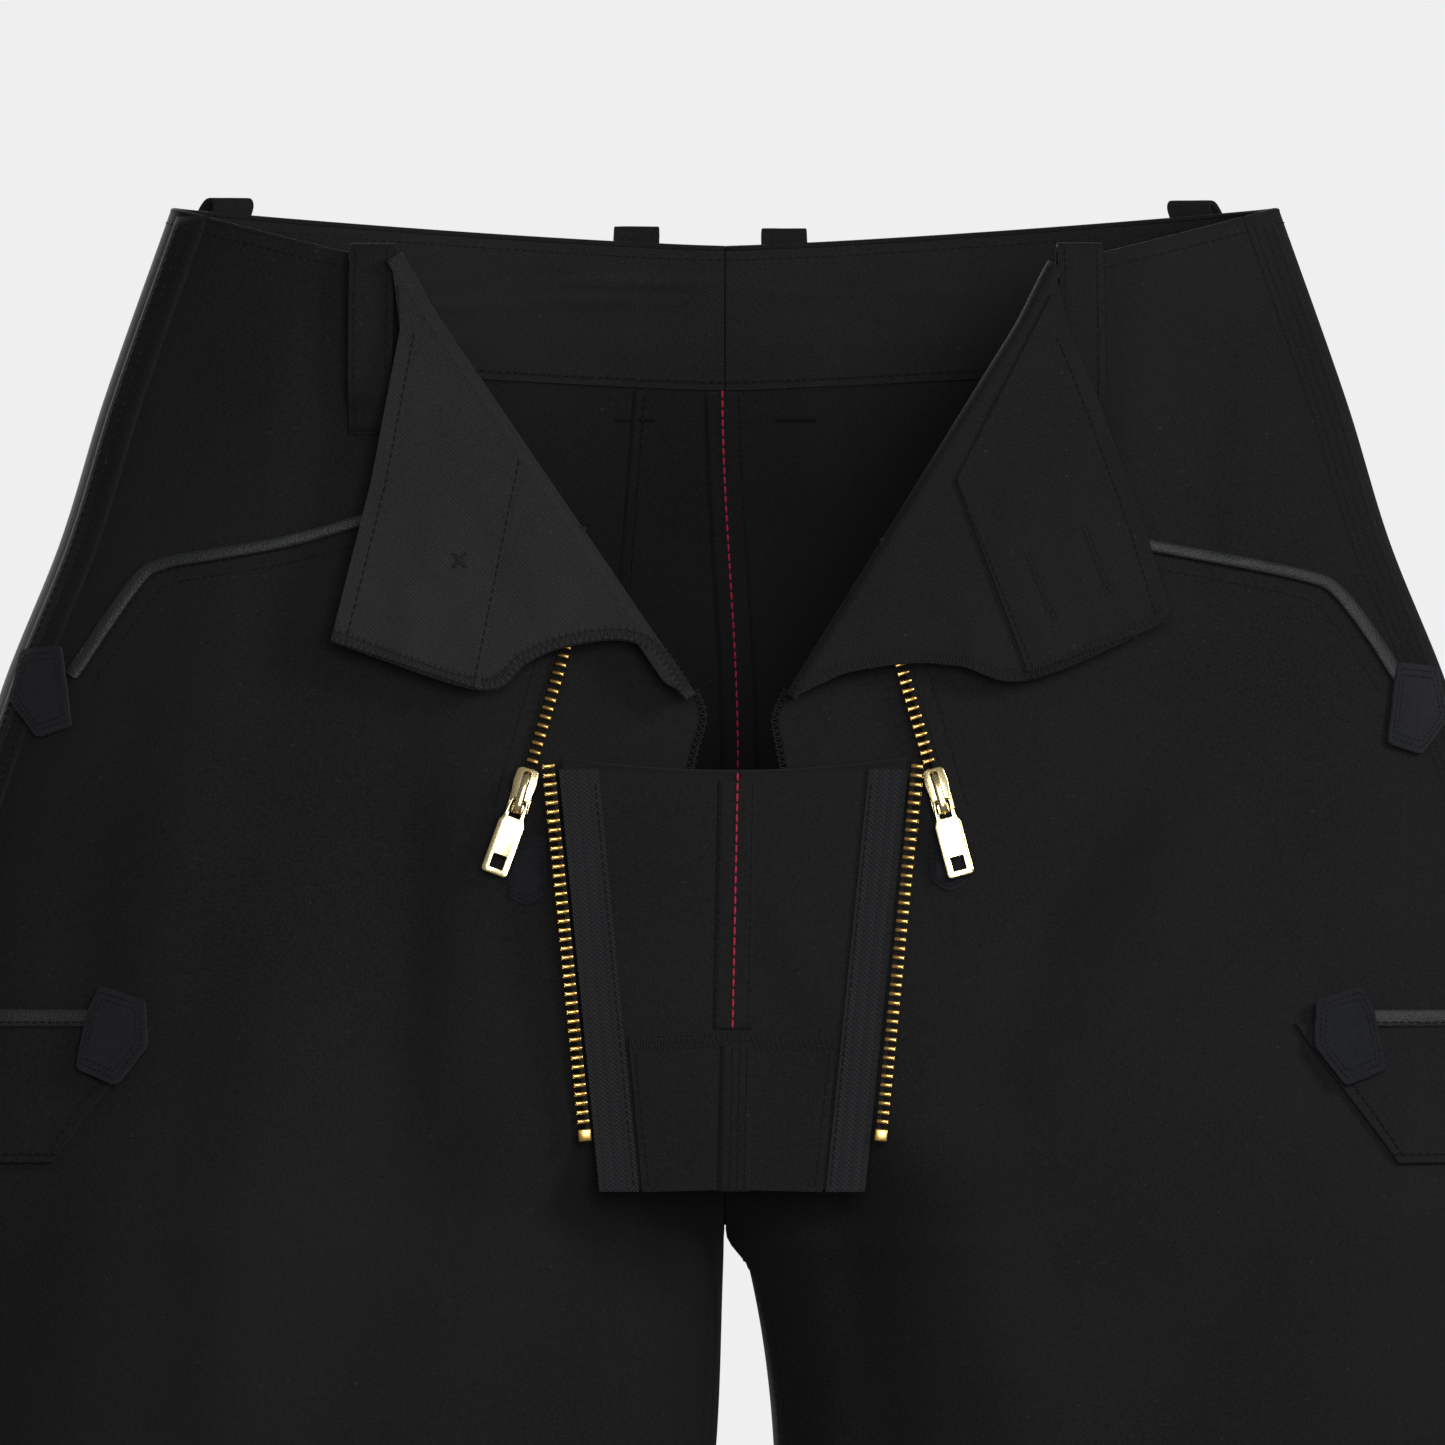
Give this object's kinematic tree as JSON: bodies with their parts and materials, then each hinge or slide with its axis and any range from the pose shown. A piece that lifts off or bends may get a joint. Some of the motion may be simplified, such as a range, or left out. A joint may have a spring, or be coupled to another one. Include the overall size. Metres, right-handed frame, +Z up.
{
  "type": "drop-front work trousers",
  "caption": "Black heavy cotton work trousers with a zipped fall flap, waist tabs, belt loops and piped pockets, shown unfastened.",
  "frame": {"origin": "middle of the waist, level with the top edge at the centre back", "axes": "+Z up along the body, +X to the wearer's left, -Y to the front"},
  "size_m": [0.592, 0.2086, 1.1088],
  "materials": {
    "body_cloth": "black heavy moleskin, matt",
    "facing_cloth": "black cotton facing, matt",
    "tab_twill": "inner side of the tabs, dark twill",
    "piping": "dark grey piping leather, low sheen",
    "patch_suede": "navy black suede patches",
    "zip_tape": "herringbone zip tape",
    "brass": "yellow brass teeth and stops",
    "pale_brass": "polished pale brass sliders and pulls",
    "button": "black four-hole buttons"
  },
  "bodies": {
    "trousers": {"right_front_panel": "body_cloth", "right_back_panel": "body_cloth", "right_waist_facing": "facing_cloth", "right_centre_back_loop": "body_cloth", "right_side_back_loop": "body_cloth", "right_front_loop": "body_cloth", "right_hand_pocket_bag": "facing_cloth", "right_hand_pocket_piping": "piping", "right_hand_pocket_patch": "patch_suede", "right_thigh_pocket_patch": "patch_suede", "right_zip_patch": "patch_suede", "right_thigh_pocket": "body_cloth", "right_thigh_pocket_piping": "piping", "right_front_zip_chain": "brass", "right_front_zip_tape": "zip_tape", "right_underlap": "body_cloth", "left_front_panel": "body_cloth", "left_back_panel": "body_cloth", "left_waist_facing": "facing_cloth", "left_centre_back_loop": "body_cloth", "left_side_back_loop": "body_cloth", "left_front_loop": "body_cloth", "left_hand_pocket_bag": "facing_cloth", "left_hand_pocket_piping": "piping", "left_hand_pocket_patch": "patch_suede", "left_thigh_pocket_patch": "patch_suede", "left_zip_patch": "patch_suede", "left_thigh_pocket": "body_cloth", "left_thigh_pocket_piping": "piping", "left_front_zip_chain": "brass", "left_front_zip_tape": "zip_tape", "left_underlap": "body_cloth"},
    "fall_flap": {"right_fall_flap": "body_cloth", "right_flap_band": "body_cloth", "right_flap_zip_tape": "zip_tape", "right_flap_zip_chain": "brass", "right_flap_zip_stop": "brass", "left_fall_flap": "body_cloth", "left_flap_band": "body_cloth", "left_flap_zip_tape": "zip_tape", "left_flap_zip_chain": "brass", "left_flap_zip_stop": "brass"},
    "right_tab": {"right_waist_tab": "tab_twill", "right_tab_facing": "tab_twill", "waist_button_1": "button", "waist_button_2": "button", "right_tab_zip_chain": "brass"},
    "left_tab": {"left_waist_tab": "tab_twill", "left_tab_facing": "tab_twill", "left_tab_zip_chain": "brass"},
    "right_slider": {"right_zip_slider": "pale_brass"},
    "left_slider": {"left_zip_slider": "pale_brass"},
    "right_pull": {"right_zip_pull": "pale_brass"},
    "left_pull": {"left_zip_pull": "pale_brass"}
  },
  "joints": [
    {"name": "fall_flap_fold", "type": "hinge", "parent": "trousers", "child": "fall_flap", "pos_m": [0, -0.08808, -0.181], "axis": [-1, 0, 0], "range_deg": [0, 165]},
    {"name": "right_tab_fold", "type": "hinge", "parent": "trousers", "child": "right_tab", "pos_m": [-0.114, -0.05332, -0.008], "axis": [-0.5586, 0.1488, 0.816], "range_deg": [0, 172]},
    {"name": "right_zip_slide", "type": "slide", "parent": "trousers", "child": "right_slider", "axis": [-0.2778, -0.1154, -0.9537], "range_m": [-0.032, 0]},
    {"name": "right_pull_swing", "type": "hinge", "parent": "right_slider", "child": "right_pull", "pos_m": [-0.07184, -0.08612, -0.19536], "axis": [0.9397, 0, -0.342], "range_deg": [-120, 0]},
    {"name": "left_tab_fold", "type": "hinge", "parent": "trousers", "child": "left_tab", "pos_m": [0.114, -0.05371, -0.011], "axis": [-0.5227, -0.1535, -0.8386], "range_deg": [0, 162]},
    {"name": "left_zip_slide", "type": "slide", "parent": "trousers", "child": "left_slider", "axis": [0.2763, -0.1138, -0.9543], "range_m": [-0.032, 0]},
    {"name": "left_pull_swing", "type": "hinge", "parent": "left_slider", "child": "left_pull", "pos_m": [0.07583, -0.08594, -0.19536], "axis": [0.9659, 0, 0.2588], "range_deg": [-120, 0]}
  ]
}
